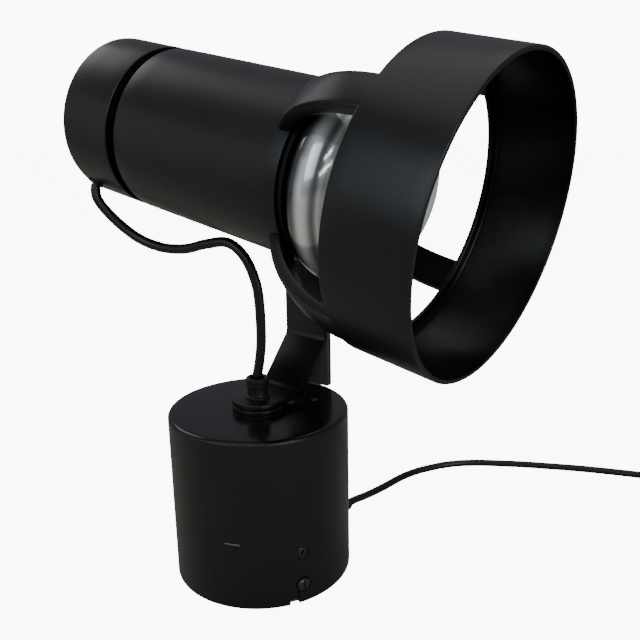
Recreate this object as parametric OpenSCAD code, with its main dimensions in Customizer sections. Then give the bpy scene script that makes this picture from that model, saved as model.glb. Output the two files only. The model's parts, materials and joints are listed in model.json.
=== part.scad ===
// Adjustable wall lamp: canopy drum, swivelling bent bracket, tilting spot head
// with a wide open hood on four curved legs.
// Origin: centre of the wall plate's underside. +Z out of the wall, +X towards
// the nose of the head, +Y to the bracket's upright side. Millimetres.

/* [Base drum] */
// Outer diameter of the canopy drum
drum_d = 100; // [98:1:104]
// Height of the canopy drum
drum_h = 95; // [93:1:98]
// Rounding of the drum's top edge
drum_round = 2.2; // [1:0.2:2.6]

/* [Bracket] */
// Width of the bracket strip
strip_w = 29; // [26:1:30]
// Thickness of the bracket strip
strip_t = 3; // [2.6:0.1:3]
// Height of the upper bend above the drum's top
bend_rise = 32; // [30:1:36]

/* [Head] */
// Height of the tilt axis above the drum's top
pivot_rise = 139.6; // [137:0.1:145]
// Nose-down angle of the head at rest
nose_down = 10.92; // [5:0.01:15]
// Outer radius of the body tube
tube_r = 42.9; // [42.9:0.1:43]
// Outer radius of the hood
hood_r = 70.5; // [70.3:0.1:72]
// Length of the hood along the head's axis
hood_len = 41.2; // [36:0.1:46]
// Width of each hood leg
leg_w = 17.2; // [14:0.2:20]
// Roll of the four legs round the head
leg_roll = 0; // [-2:1:2]

/* [Cord] */
// Diameter of the mains cord and of the lead
cord_d = 4.8; // [4.4:0.1:4.8]

/* [Hidden] */
$fn = 96;

drum_r = drum_d / 2;
drum_in = drum_r - 2;
cr = cord_d / 2;
e = 0.01;

// tilt axis and head stations along the head's axis, from the tilt axis
axis_y = -1.8;
pivot_z = drum_h + pivot_rise;
z_front = 57;
z_hood = 103.1;
z_rim = z_hood + hood_len;
z_neck_a = -51.1;
z_neck_b = -57.5;
z_rear = -93.8;
tube_in = tube_r - 2;

// bracket: near face of the upright section
up_y = 43;
foot_z = drum_h + 2.7;

// lock and set screws, mains exit
screw_az = -23.5;
lock_z = 10.8;
set_z = 29.4;
exit_x = 10;
exit_z = 6.5;

// stop stud on the drum's top
stud_x = 19.2;
stud_y = 25.7;
stud_az = atan2(stud_y, stud_x);

// coil of spare mains cord
coil_c = [210, 212, 0];
coil_in = 16.9;
coil_out = 40.8;
coil_low = 0.8;
coil_h = 9.7;
tail_x = coil_c[0] + 38.3;
plug_y = 174;

// route of the lead, gland bush to rear cap
lead_pts = [
  [0, 0, 108.3], [0.1, 0.1, 113.5], [1.5, 0.8, 122], [3, 1, 133], [4.4, -0.5, 151], [3.4, -1.7, 166],
  [-2, -4, 180], [-12, -6, 187], [-25, -9, 185.5], [-39, -12, 182],
  [-55, -15, 182], [-70, -19, 187], [-83, -24, 197.5], [-90, -28, 208]
];
// route of the mains cord, strain relief to coil
cord_pts = [
  [10, 71, 6.5], [10, 76, 6.4], [10, 83, 5.2], [10.2, 93, 3.5], [11.5, 107, 2.6],
  [16, 138, 2.45], [23, 154.5, 2.4], [33, 169.5, 2.4], [44.5, 180, 2.4],
  [61, 190.5, 2.4], [79, 200.5, 2.4], [96.5, 209, 2.4], [114, 217, 2.4],
  [131, 223.7, 2.4], [148, 230, 2.4], [172, 238.8, 2.7], [196.6, 248, 3.2]
];

// ---------- helpers ----------

// head frame: z forward along the head, x down, y to the bracket's side
module head_frame()
  translate([0, axis_y, pivot_z]) rotate([0, 90 + nose_down, 0]) children();

// along the tilt axis, from the head's axis outwards on the bracket's side
module along_pivot(y0)
  head_frame() rotate([-90, 0, 0]) translate([0, 0, y0]) children();

// radial place on the drum
module on_drum(az, z) rotate([0, 0, az]) translate([0, 0, z]) rotate([0, 90, 0]) children();

module ring(ro, ri, h) difference() {
  cylinder(r = ro, h = h);
  translate([0, 0, -1]) cylinder(r = ri, h = h + 2);
}

module rod(a, b, r) {
  d = b - a;
  l = norm(d);
  translate(a) rotate([0, acos(d[2] / l), atan2(d[1], d[0])]) cylinder(r = r, h = l);
}

function unit(v) = v / norm(v);
function spline(a, b, c, d, t) = 0.5 * (2 * b + (c - a) * t
  + (2 * a - 5 * b + 4 * c - d) * t * t + (3 * b - a - 3 * c + d) * t * t * t);
function smooth(p, k) = concat([for (i = [0:len(p) - 2]) for (j = [0:k - 1])
  spline(p[max(i - 1, 0)], p[i], p[i + 1], p[min(i + 2, len(p) - 1)], j / k)], [p[len(p) - 1]]);
function tangent(p, i) = unit(p[min(i + 1, len(p) - 1)] - p[max(i - 1, 0)]);

// round tube along a path
module sweep(p, r, ref, n = 10) {
  m = len(p);
  pts = [for (i = [0:m - 1])
    let (t = tangent(p, i), a = unit(cross(ref, t)), b = cross(t, a))
    for (k = [0:n - 1]) p[i] + r * (cos(360 * k / n) * a + sin(360 * k / n) * b)];
  sides = [for (i = [0:m - 2]) for (k = [0:n - 1])
    let (a = i * n + k, b = i * n + (k + 1) % n)
    each [[a, a + n, b], [b, a + n, b + n]]];
  polyhedron(points = pts, convexity = 6,
    faces = concat([[for (k = [0:n - 1]) k]], sides, [[for (k = [n - 1:-1:0]) (m - 1) * n + k]]));
}

// ---------- base ----------

// disc screwed to the wall, with two upright ears for the drum's screws
module wall_plate() color("dimgray") difference() {
  union() {
    cylinder(r = 47.4, h = 3);
    for (az = [screw_az, screw_az + 180]) rotate([0, 0, az]) intersection() {
      ring(45.5, 43.3, 37);
      translate([20, -7, 0]) cube([40, 14, 37]);
    }
  }
  for (x = [-30, 30]) translate([x, 0, -1]) cylinder(r = 2.3, h = 5);
  translate([0, -28, -1]) cylinder(r = 6, h = 5);
  for (az = [screw_az, screw_az + 180]) on_drum(az, lock_z) translate([0, 0, 40]) cylinder(r = 2, h = 8);
  // notch that clears the strain relief
  translate([exit_x - 7.5, 40, -1]) cube([15, 12, 5]);
}

// drum shell with a rounded top edge
module drum_shell() rotate_extrude() difference() {
  union() {
    square([drum_r - drum_round, drum_h]);
    square([drum_r, drum_h - drum_round]);
    translate([drum_r - drum_round, drum_h - drum_round]) circle(r = drum_round);
  }
  translate([-1, -1]) square([drum_in + 1, drum_h - 3 + 1]);
}

module canopy_drum() color("black") difference() {
  union() {
    drum_shell();
    on_drum(screw_az, set_z) translate([0, 0, 46]) cylinder(r = 4.5, h = 2.4);
  }
  translate([0, 0, drum_h - 5]) cylinder(r = 5.06, h = 8);
  translate([stud_x, stud_y, drum_h - 5]) cylinder(r = 1.52, h = 8);
  for (az = [screw_az, screw_az + 180]) on_drum(az, lock_z) {
    translate([0, 0, 40]) cylinder(r = 2.3, h = 20);
    translate([0, 0, drum_r - 0.8]) cylinder(r = 4.6, h = 6);
  }
  on_drum(screw_az, set_z) {
    translate([0, 0, 40]) cylinder(r = 2.52, h = 20);
    translate([0, 0, drum_r - 0.9]) cylinder(r = 3.7, h = 6);
  }
  // notch and slit under the lock screw
  rotate([0, 0, screw_az - 6]) translate([drum_in - 6, -2.5, -1]) cube([14, 5, 4]);
  rotate([0, 0, screw_az - 3.4]) translate([drum_in - 3, -0.35, -1]) cube([10, 0.7, 9]);
  // mains exit
  translate([exit_x, 30, exit_z]) rotate([-90, 0, 0]) cylinder(r = 5, h = 30);
}

// slotted pan-head screws through the drum into the ears
module lock_screws() color("gray") for (az = [screw_az, screw_az + 180]) on_drum(az, lock_z) difference() {
  union() {
    translate([0, 0, 41]) cylinder(r = 1.98, h = drum_r - 0.8 - 41 + 1);
    translate([0, 0, drum_r - 0.8]) cylinder(r = 3.6, h = 2.2);
  }
  translate([-4, -0.5, drum_r + 0.4]) cube([8, 1, 3]);
}

// socket set screw in the drum wall, bearing on the ear
module set_screw() color("gray") on_drum(screw_az, set_z) difference() {
  translate([0, 0, 45.55]) cylinder(r = 2.5, h = drum_r - 0.9 - 45.55);
  translate([0, 0, drum_r - 2.6]) cylinder(r = 1.2, h = 4, $fn = 6);
}

module terminal_block() color("ivory") difference() {
  translate([-13, -8, 3]) cube([26, 16, 18]);
  for (x = [-6.5, 6.5]) translate([x, -4, 12]) cylinder(r = 2, h = 12);
}

module terminal_screws() color("gold") for (x = [-6.5, 6.5]) translate([x, -4, 12]) difference() {
  cylinder(r = 1.95, h = 7);
  translate([-3, -0.3, 6]) cube([6, 0.6, 3]);
}

// tapered strain relief of the mains cord
module mains_gland() color("black") translate([exit_x, 0, exit_z]) rotate([-90, 0, 0]) {
  translate([0, 0, 42.5]) cylinder(r = 6, h = 2.4);
  translate([0, 0, 44]) cylinder(r = 4.95, h = 8);
  translate([0, 0, 50.2]) cylinder(r = 6, h = 2);
  translate([0, 0, 52.2]) cylinder(r1 = 5.2, r2 = 3.4, h = 18.8);
}

module mains_tail() color("black") translate([exit_x, 8, exit_z]) rotate([-90, 0, 0]) cylinder(r = cr, h = 34.5);

module lead_tail() color("black") translate([0, 0, 21]) cylinder(r = 2.2, h = 87);

// bearing disc between drum and bracket foot
module swivel_disc() color("black") translate([0, 0, drum_h]) ring(strip_w / 2, 5.06, 2.4);

// stud that ends the swivel's travel, its head on the drum's top
module stop_stud() color("silver") translate([stud_x, stud_y, 0]) {
  translate([0, 0, drum_h - 11]) cylinder(r = 1.5, h = 11);
  translate([0, 0, drum_h]) cylinder(r = 1.9, h = 0.8);
}

// ---------- mains cord ----------

module mains_cord() color("black") sweep(smooth(cord_pts, 2), cr, [0, 0, 1]);

// spare cord, wound flat in two layers
module cord_coil() color("black") translate(coil_c) rotate_extrude()
  translate([coil_in, coil_low]) difference() {
    square([coil_out - coil_in, coil_h]);
    for (x = [0, coil_out - coil_in]) for (y = [0, coil_h]) translate([x, y]) rotate(45) square([2, 2], center = true);
  }

module cord_tie() color("black") translate(coil_c) rotate([0, 0, 250]) translate([coil_in - 1.3, 0, 0]) difference() {
  translate([0, -4, 0]) cube([coil_out - coil_in + 2.2, 8, coil_low + coil_h + 1]);
  translate([0.8, -5, coil_low]) cube([coil_out - coil_in + 0.6, 10, coil_h + 0.2]);
}

module plug_lead() color("black") translate([tail_x, plug_y, 6.85]) rotate([-90, 0, 0]) cylinder(r = cr, h = 34);

// flat two-pin plug lying beside the coil
module plug_body() color("black") translate([tail_x, plug_y, 0]) difference() {
  linear_extrude(13.7) polygon([
    [-5, 0], [5, 0], [8, -10], [17.6, -24], [17.6, -37], [-17.6, -37], [-17.6, -24], [-8, -10]]);
  for (x = [-9.3, 9.3]) translate([x, -30, 6.85]) rotate([90, 0, 0]) cylinder(r = 2, h = 10);
}

module plug_pins() color("silver") for (x = [-9.3, 9.3])
  translate([tail_x + x, plug_y - 30, 6.85]) rotate([90, 0, 0]) cylinder(r = 1.98, h = 26);

// ---------- arm ----------

// bent strip: round foot, sloping riser, upright section to the tilt axis
module bracket() color("black") difference() {
  union() {
    translate([0, 0, foot_z]) cylinder(r = strip_w / 2, h = strip_t);
    translate([strip_w / 2, 0, 0]) rotate([90, 0, -90]) mirror([1, 0, 0]) linear_extrude(strip_w) polygon([
      [0, foot_z], [20.5, foot_z], [22.2, foot_z + 0.7],
      [up_y + strip_t - 0.8, drum_h + bend_rise - 3], [up_y + strip_t, drum_h + bend_rise - 0.6],
      [up_y + strip_t, pivot_z], [up_y, pivot_z],
      [up_y, drum_h + bend_rise + 1.6], [up_y - 0.9, drum_h + bend_rise - 0.9],
      [20.6, foot_z + strip_t + 0.7], [18.9, foot_z + strip_t], [0, foot_z + strip_t]]);
    translate([0, up_y, pivot_z]) rotate([-90, 0, 0]) cylinder(r = strip_w / 2, h = strip_t);
  }
  translate([0, 0, foot_z - 1]) cylinder(r = 5.02, h = strip_t + 2);
  translate([0, up_y - 1, pivot_z]) rotate([-90, 0, 0]) cylinder(r = 3.05, h = strip_t + 2);
  for (z = [45, 63]) translate([0, up_y, drum_h + z]) rotate([-90, 0, 0]) {
    translate([0, 0, -1]) cylinder(r = 2, h = strip_t + 2);
    translate([0, 0, -0.5]) cylinder(r1 = 4, r2 = 2, h = 2);
  }
}

// flat plate behind the riser, down to just above the drum
module back_plate() color("black") difference() {
  translate([0, up_y + strip_t, 0]) rotate([90, 0, 0]) mirror([0, 0, 1]) linear_extrude(strip_t) {
    translate([-strip_w / 2, drum_h + 2.7]) square([strip_w, 71.3]);
    translate([-strip_w / 2 + 2, drum_h + 0.7]) square([strip_w - 4, 4]);
    for (x = [-1, 1]) translate([x * (strip_w / 2 - 2), drum_h + 2.7]) circle(r = 2);
  }
  for (z = [45, 63]) translate([0, up_y + strip_t - 1, drum_h + z]) rotate([-90, 0, 0]) cylinder(r = 2, h = strip_t + 2);
}

// two rivets, countersunk flush on the near side, with a head behind
module bracket_rivets() color("dimgray") for (z = [45, 63]) translate([0, up_y, drum_h + z]) rotate([-90, 0, 0]) {
  cylinder(r1 = 3.48, r2 = 1.98, h = 1.5);
  translate([0, 0, 1.5]) cylinder(r = 1.98, h = 2 * strip_t - 1.5);
  translate([0, 0, 2 * strip_t]) cylinder(r = 3.5, h = 1.2);
}

// hollow threaded tube that holds the bracket on the drum
module swivel_nipple() color("silver") translate([0, 0, 80]) ring(5, 3.2, 24);

// grooved bush where the lead comes out
module gland_bush() color("black") translate([0, 0, foot_z + strip_t]) difference() {
  union() {
    cylinder(r = 7, h = 1.2);
    cylinder(r = 5.7, h = 9.5);
    translate([0, 0, 7]) cylinder(r = 6.4, h = 1.2);
    translate([0, 0, 8.8]) cylinder(r = 6.4, h = 3);
  }
  translate([0, 0, -1]) cylinder(r = 5.02, h = 4.4);
  translate([0, 0, -1]) cylinder(r = 2.7, h = 20);
  translate([0, 0, 7.2]) cylinder(r = 4, h = 10);
}

module wave_washer() color("silver") translate([0, 0, drum_h - 4.6]) ring(9, 5.05, 1.3);

// washer whose long tang meets the stud at the end of the swivel's travel
module stop_washer() color("silver") translate([0, 0, drum_h - 6.1]) difference() {
  union() {
    cylinder(r = 9, h = 1.5);
    rotate([0, 0, stud_az + 180]) translate([0, -2.5, 0]) cube([34, 5, 1.5]);
  }
  translate([0, 0, -1]) cylinder(r = 5.02, h = 4);
}

module swivel_nut() color("gold") translate([0, 0, drum_h - 10.1]) difference() {
  cylinder(r = 8.1, h = 4, $fn = 6);
  translate([0, 0, -1]) cylinder(r = 5.02, h = 6);
}

// lead from the gland bush to the rear cap
module head_lead() color("black") sweep(smooth(concat(lead_pts, [lead_stop]), 2), cr, [0, 1, 0]);

// ---------- head ----------

// lead's place on the rear cap: station and angle round the head
cap_z = -86.5;
cap_az = -36;
cap_out = 43.4;
// the same place in the main frame
lead_stop = [
  cap_z * sin(90 + nose_down) + cap_out * cos(cap_az) * cos(90 + nose_down),
  axis_y + cap_out * sin(cap_az),
  pivot_z + cap_z * cos(90 + nose_down) - cap_out * cos(cap_az) * sin(90 + nose_down)];

module body_tube() color("black") difference() {
  head_frame() translate([0, 0, z_neck_a]) ring(tube_r, tube_in, z_front - z_neck_a);
  along_pivot(0) cylinder(r = 3.1, h = 60);
}

// spool inside tube and cap, its waist shows as the dark groove
module neck_sleeve() color("black") head_frame() difference() {
  union() {
    translate([0, 0, z_neck_a]) cylinder(r = tube_in - 0.05, h = 7);
    translate([0, 0, z_neck_b - 1]) cylinder(r = 38, h = z_neck_a - z_neck_b + 2);
    translate([0, 0, z_neck_b - 7]) cylinder(r = tube_in - 0.05, h = 7);
  }
  translate([0, 0, z_neck_b - 8]) cylinder(r = 34.5, h = 30);
  for (a = [0, 180]) rotate([0, 0, a]) translate([37.4, 0, z_neck_a - 2]) cylinder(r = 1.5, h = 12);
}

module rear_cap() color("black") head_frame() difference() {
  rotate_extrude() difference() {
    union() {
      translate([0, z_rear]) square([tube_r - 2.5, z_neck_b - z_rear]);
      translate([0, z_rear + 2.5]) square([tube_r, z_neck_b - z_rear - 2.5]);
      translate([tube_r - 2.5, z_rear + 2.5]) circle(r = 2.5);
    }
    translate([-1, z_rear + 2.5]) square([tube_in + 1, 60]);
  }
  rotate([0, 0, cap_az]) translate([30, 0, cap_z]) rotate([0, 90, 0]) cylinder(r = 4.02, h = 20);
}

module cap_grommet() color("black") head_frame() difference() {
  rotate([0, 0, cap_az]) translate([0, 0, cap_z]) rotate([0, 90, 0]) {
    translate([0, 0, 36]) cylinder(r = 4, h = cap_out - 36);
    translate([0, 0, 41]) cylinder(r = 4.4, h = cap_out - 41);
  }
  difference() {
    translate([0, 0, z_rear]) cylinder(r = tube_r, h = 30);
    rotate([0, 0, cap_az]) translate([30, 0, cap_z]) rotate([0, 90, 0]) cylinder(r = 4.01, h = 20);
  }
}

module lead_end() color("black") head_frame()
  rod([36.5 * cos(cap_az), 36.5 * sin(cap_az), cap_z], [0, 0, -43.2], 2.2);

// ring inside the tube's mouth that carries the legs
module front_ring() color("black") head_frame() translate([0, 0, 41]) ring(tube_in - 0.05, 38.6, 18);

// one section of the legs: an arc from the tube's edge out to the hood,
// a little thicker at the hood
leg_o = 65;
leg_i = 60;
leg_oc = [hood_r - leg_o, z_hood];
leg_ic = [hood_r - 6.6 - leg_i, z_hood];
module leg_section() difference() {
  intersection() {
    translate(leg_oc) circle(r = leg_o, $fn = 160);
    translate([tube_in, z_front - 9]) square([40, z_hood - z_front + 9]);
  }
  translate(leg_ic) circle(r = leg_i, $fn = 160);
  translate([tube_in - 1, z_front - 10]) square([tube_r + 0.05 - tube_in + 1, 10.05]);
}

// places of the legs round the head, as they stand
leg_az = [228, 316.5, 47.6, 141];
module hood_legs() color("black") head_frame() for (a = leg_az) rotate([0, 0, a + leg_roll]) intersection() {
  rotate_extrude() leg_section();
  translate([20, -leg_w / 2, 0]) cube([60, leg_w, 120]);
}

// wide thin ring with an inner lip at its rear
module hood_ring() color("black") head_frame() rotate_extrude() {
  translate([hood_r - 2.3, z_hood]) square([2.3, hood_len - 0.8]);
  translate([hood_r - 1.9, z_rim - 0.8]) square([1.5, 0.8]);
  translate([hood_r - 8.1, z_hood]) square([8.1, 2.2]);
}

module holder_plate() color("silver") head_frame() difference() {
  translate([0, 0, -44.1]) cylinder(r = tube_in - 0.05, h = 2.5);
  translate([0, 0, -50]) cylinder(r = 6, h = 12);
  for (a = [0, 180]) rotate([0, 0, a]) translate([37.4, 0, -50]) cylinder(r = 1.6, h = 12);
}

module plate_screws() color("gray") head_frame() for (a = [0, 180]) rotate([0, 0, a]) translate([37.4, 0, 0]) {
  translate([0, 0, -51]) cylinder(r = 1.48, h = 10);
  translate([0, 0, -41.6]) cylinder(r = 2.8, h = 2);
}

module lampholder() color("ivory") head_frame() difference() {
  union() {
    translate([0, 0, -41.6]) cylinder(r = 19, h = 36);
    translate([0, 0, -15]) cylinder(r = 21, h = 8);
  }
  translate([0, 0, -34]) cylinder(r = 14, h = 40);
  translate([0, 0, -36.6]) cylinder(r = 4, h = 6);
}

module holder_contacts() color("gold") head_frame() {
  translate([0, 0, -36.6]) cylinder(r = 3.95, h = 3.5);
  translate([0, 0, -31]) ring(13.95, 13.35, 23);
}

module bulb_cap() color("silver") head_frame() {
  translate([0, 0, -33]) cylinder(r = 4.5, h = 2.1);
  translate([0, 0, -31]) cylinder(r = 13.2, h = 24);
}

// reflector bulb: half outline, station and radius
bulb_o = [
  [-7, 13], [4, 14.5], [14, 17], [26, 20.5], [38, 24.5], [48, 28.8], [54, 32.6], [58, 36],
  [61, 39.6], [64, 43.2], [67, 45.8], [70.5, 47.2], [75, 47.5], [79.6, 46.5], [85, 43.4],
  [90.6, 38], [96.2, 29.8], [100.6, 20], [103, 10], [103.7, 0]];
bulb_t = 1.2;
bulb_n = len(bulb_o) - 1;
// the same outline one wall thickness further in
function bulb_in(i) = i == bulb_n ? [bulb_o[i][0] - bulb_t, 0]
  : i == 0 ? bulb_o[0] - [0, bulb_t]
  : let (t = unit(bulb_o[i + 1] - bulb_o[i - 1])) bulb_o[i] + bulb_t * [t[1], -t[0]];
module bulb_glass() color("lightgray") head_frame() rotate_extrude() polygon(concat(
  [for (q = bulb_o) [q[1], q[0]]],
  [for (i = [bulb_n:-1:0]) [bulb_in(i)[1], bulb_in(i)[0]]]));

// ---------- tilt pivot ----------

module pivot_pad() color("black") difference() {
  along_pivot(38) cylinder(r = 12, h = 5.8);
  head_frame() translate([0, 0, -30]) cylinder(r = tube_r, h = 60, $fn = 720);
  along_pivot(0) cylinder(r = 3.1, h = 60);
}

module friction_washer() color("white") along_pivot(43.8) ring(11, 3.1, 0.7);

module spring_washer() color("silver") along_pivot(up_y + strip_t - axis_y + 0.3) ring(7, 3.1, 1);

module pivot_screw() color("gray") along_pivot(0) difference() {
  union() {
    translate([0, 0, 34.5]) cylinder(r = 3, h = up_y + strip_t - axis_y + 1.3 - 34.5 + 0.5);
    translate([0, 0, up_y + strip_t - axis_y + 1.3]) cylinder(r = 6, h = 3.6);
  }
  translate([0, 0, up_y + strip_t - axis_y + 2.9]) cylinder(r = 2.3, h = 4, $fn = 6);
}

module pivot_nut() color("gold") along_pivot(34) difference() {
  cylinder(r = 5.7, h = 4.4, $fn = 6);
  translate([0, 0, -1]) cylinder(r = 3.02, h = 8);
}

// ---------- assembly ----------

wall_plate();
canopy_drum();
lock_screws();
set_screw();
terminal_block();
terminal_screws();
mains_gland();
mains_tail();
lead_tail();
swivel_disc();
stop_stud();
mains_cord();
cord_coil();
cord_tie();
plug_lead();
plug_body();
plug_pins();
bracket();
back_plate();
bracket_rivets();
swivel_nipple();
gland_bush();
wave_washer();
stop_washer();
swivel_nut();
head_lead();
body_tube();
neck_sleeve();
rear_cap();
cap_grommet();
lead_end();
front_ring();
hood_legs();
hood_ring();
holder_plate();
plate_screws();
lampholder();
holder_contacts();
bulb_cap();
bulb_glass();
pivot_pad();
friction_washer();
spring_washer();
pivot_screw();
pivot_nut();
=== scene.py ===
import json
import math
import bpy
import bmesh
import numpy as np
from mathutils import Matrix, Vector


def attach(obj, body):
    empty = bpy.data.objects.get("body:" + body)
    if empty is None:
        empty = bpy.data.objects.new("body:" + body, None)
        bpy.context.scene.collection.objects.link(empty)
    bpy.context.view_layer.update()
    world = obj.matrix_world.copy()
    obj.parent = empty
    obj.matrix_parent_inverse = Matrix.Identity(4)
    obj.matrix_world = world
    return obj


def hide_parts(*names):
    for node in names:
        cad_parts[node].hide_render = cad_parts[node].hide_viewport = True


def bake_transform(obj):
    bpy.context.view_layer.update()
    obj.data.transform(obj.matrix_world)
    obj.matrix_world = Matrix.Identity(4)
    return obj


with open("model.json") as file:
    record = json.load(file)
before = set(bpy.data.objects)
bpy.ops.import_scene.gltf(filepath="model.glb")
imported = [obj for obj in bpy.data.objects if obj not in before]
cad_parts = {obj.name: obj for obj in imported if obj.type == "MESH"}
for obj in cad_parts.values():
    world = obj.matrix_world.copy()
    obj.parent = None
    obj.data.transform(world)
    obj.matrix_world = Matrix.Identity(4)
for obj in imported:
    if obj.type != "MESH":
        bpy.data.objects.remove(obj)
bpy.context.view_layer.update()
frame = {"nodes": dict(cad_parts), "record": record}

N = frame["nodes"]
scene = bpy.context.scene
MM = 0.001

# ---------------------------------------------------------------- camera
cam_data = bpy.data.cameras.new("camera")
cam_data.lens = 43.49
cam_data.sensor_width = 36
cam_data.sensor_fit = "HORIZONTAL"
cam_data.clip_start, cam_data.clip_end = 0.01, 50
cam = bpy.data.objects.new("camera", cam_data)
scene.collection.objects.link(cam)
R, U, B = (0.793485, 0.608337, -0.017398), (-0.146438, 0.218598, 0.964765), (0.590706, -0.762981, 0.262539)
cam.matrix_world = Matrix.Translation((0.275099, -0.297849, 0.254158)) @ Matrix((
    (R[0], U[0], B[0], 0), (R[1], U[1], B[1], 0), (R[2], U[2], B[2], 0), (0, 0, 0, 1)))
scene.camera = cam

# ---------------------------------------------------------------- frames
S = Matrix.Scale(MM, 4)


def rx(d): return Matrix.Rotation(math.radians(d), 4, "X")
def ry(d): return Matrix.Rotation(math.radians(d), 4, "Y")
def rz(d): return Matrix.Rotation(math.radians(d), 4, "Z")
def tr(x, y, z): return Matrix.Translation((x, y, z))


NOSE = 10.92
H = S @ tr(0, -1.8, 234.6) @ ry(90 + NOSE)          # head: z forward, x down, y to the upright
PIV = H @ rx(-90)                                   # out along the tilt axis
SCREW_AZ = -23.5


def on_drum(az, z): return S @ rz(az) @ tr(0, 0, z) @ ry(90)


# ---------------------------------------------------------------- mesh helpers
def link(name, me):
    o = bpy.data.objects.new(name, me)
    scene.collection.objects.link(o)
    return o


def put(name, bm, M=None, sharp=33):
    if M is not None:
        bm.transform(M)
    bmesh.ops.recalc_face_normals(bm, faces=bm.faces)
    me = bpy.data.meshes.new(name)
    bm.to_mesh(me)
    bm.free()
    me.polygons.foreach_set("use_smooth", [True] * len(me.polygons))
    me.set_sharp_from_angle(angle=math.radians(sharp))
    return link(name, me)


def fillet(pts, n=4):
    """A closed outline whose corners (x, y, radius) are rounded."""
    out = []
    m = len(pts)
    for i, (x, y, f) in enumerate(pts):
        p, a, b = np.array((x, y)), np.array(pts[i - 1][:2]), np.array(pts[(i + 1) % m][:2])
        la, lb = np.linalg.norm(a - p), np.linalg.norm(b - p)
        if f <= 0 or la < 1e-6 or lb < 1e-6:
            out.append((x, y))
            continue
        u, v = (a - p) / la, (b - p) / lb
        half = math.acos(max(-1, min(1, float(u @ v)))) / 2
        if half > 1.55:
            out.append((x, y))
            continue
        d = min(f / math.tan(half), 0.48 * la, 0.48 * lb)
        rr = d * math.tan(half)
        c = p + (u + v) / np.linalg.norm(u + v) * rr / math.sin(half)
        s, e = p + u * d - c, p + v * d - c
        a0, a1 = math.atan2(s[1], s[0]), math.atan2(e[1], e[0])
        da = (a1 - a0 + math.pi) % (2 * math.pi) - math.pi
        for k in range(n + 1):
            t = a0 + da * k / n
            out.append((c[0] + rr * math.cos(t), c[1] + rr * math.sin(t)))
    return out


def lathe(name, prof, M, seg=128, corner=4, split=0, sharp=33):
    """A turned piece. prof is a closed outline of (radius, station, corner radius); radius 0 is a pole."""
    ring_pts = fillet(prof, corner) if len(prof[0]) == 3 else prof
    pts = []
    for p, q in zip(ring_pts, ring_pts[1:] + ring_pts[:1]):
        pts.append(p)
        long_side = math.hypot(q[0] - p[0], q[1] - p[1])
        if split and long_side > 2 * split and not (p[0] < 1e-6 and q[0] < 1e-6):
            k = int(long_side / split)
            pts += [(p[0] + (q[0] - p[0]) * j / k, p[1] + (q[1] - p[1]) * j / k) for j in range(1, k)]
    bm = bmesh.new()
    rings = []
    for r, z in pts:
        if r < 1e-6:
            rings.append([bm.verts.new((0, 0, z))])
        else:
            rings.append([bm.verts.new((r * math.cos(2 * math.pi * k / seg), r * math.sin(2 * math.pi * k / seg), z))
                          for k in range(seg)])
    for A, C in zip(rings, rings[1:] + rings[:1]):
        if len(A) == 1 and len(C) == 1:
            continue
        for k in range(seg):
            j = (k + 1) % seg
            if len(A) == 1:
                bm.faces.new((A[0], C[k], C[j]))
            elif len(C) == 1:
                bm.faces.new((A[k], C[0], A[j]))
            else:
                bm.faces.new((A[k], C[k], C[j], A[j]))
    return put(name, bm, M, sharp)


def loft(name, loops, M=None, closed_ring=False, sharp=33):
    """A skin over a row of equal loops, with flat ends."""
    bm = bmesh.new()
    rows = [[bm.verts.new(p) for p in l] for l in loops]
    pairs = list(zip(rows, rows[1:] + rows[:1])) if closed_ring else list(zip(rows, rows[1:]))
    n = len(rows[0])
    for A, C in pairs:
        for k in range(n):
            j = (k + 1) % n
            bm.faces.new((A[k], A[j], C[j], C[k]))
    if not closed_ring:
        bm.faces.new(rows[0][::-1])
        bm.faces.new(rows[-1])
    return put(name, bm, M, sharp)


def block(lo, hi, M):
    """A box used only to cut with."""
    bm = bmesh.new()
    v = [bm.verts.new((x, y, z)) for z in (lo[2], hi[2]) for x, y in ((lo[0], lo[1]), (hi[0], lo[1]), (hi[0], hi[1]), (lo[0], hi[1]))]
    for f in ((0, 1, 2, 3), (4, 5, 6, 7), (0, 1, 5, 4), (1, 2, 6, 5), (2, 3, 7, 6), (3, 0, 4, 7)):
        bm.faces.new([v[i] for i in f])
    return put("cutter", bm, M)


def drill(r, z0, z1, M, seg=48):
    return lathe("cutter", [(0, z0), (r, z0), (r, z1), (0, z1)], M, seg)


def carve(o, cutters, width=0.25, segments=2, sharp=33, limit=38):
    """Cuts pieces out of o and rounds the new edges."""
    for c in cutters:
        m = o.modifiers.new("cut", "BOOLEAN")
        m.object, m.operation, m.solver = c, "DIFFERENCE", "EXACT"
    if width:
        b = o.modifiers.new("edges", "BEVEL")
        b.width, b.segments, b.limit_method, b.angle_limit = width * MM, segments, "ANGLE", math.radians(limit)
        b.miter_outer = "MITER_ARC"
    bpy.context.view_layer.update()
    dg = bpy.context.evaluated_depsgraph_get()
    me = bpy.data.meshes.new_from_object(o.evaluated_get(dg))
    o.modifiers.clear()
    o.data = me
    for c in cutters:
        bpy.data.objects.remove(c)
    me.polygons.foreach_set("use_smooth", [True] * len(me.polygons))
    me.set_sharp_from_angle(angle=math.radians(sharp))
    return o


def catmull(p, k):
    p = [np.array(q, float) for q in p]
    out = []
    for i in range(len(p) - 1):
        a, b, c, d = p[max(i - 1, 0)], p[i], p[i + 1], p[min(i + 2, len(p) - 1)]
        for j in range(k):
            t = j / k
            out.append(0.5 * (2 * b + (c - a) * t + (2 * a - 5 * b + 4 * c - d) * t * t + (3 * b - a - 3 * c + d) * t ** 3))
    out.append(p[-1])
    return out


# ---------------------------------------------------------------- materials
def nodes_of(name):
    m = bpy.data.materials.new(name)
    m.use_nodes = True
    t = m.node_tree
    return m, t, t.nodes["Principled BSDF"]


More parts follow.
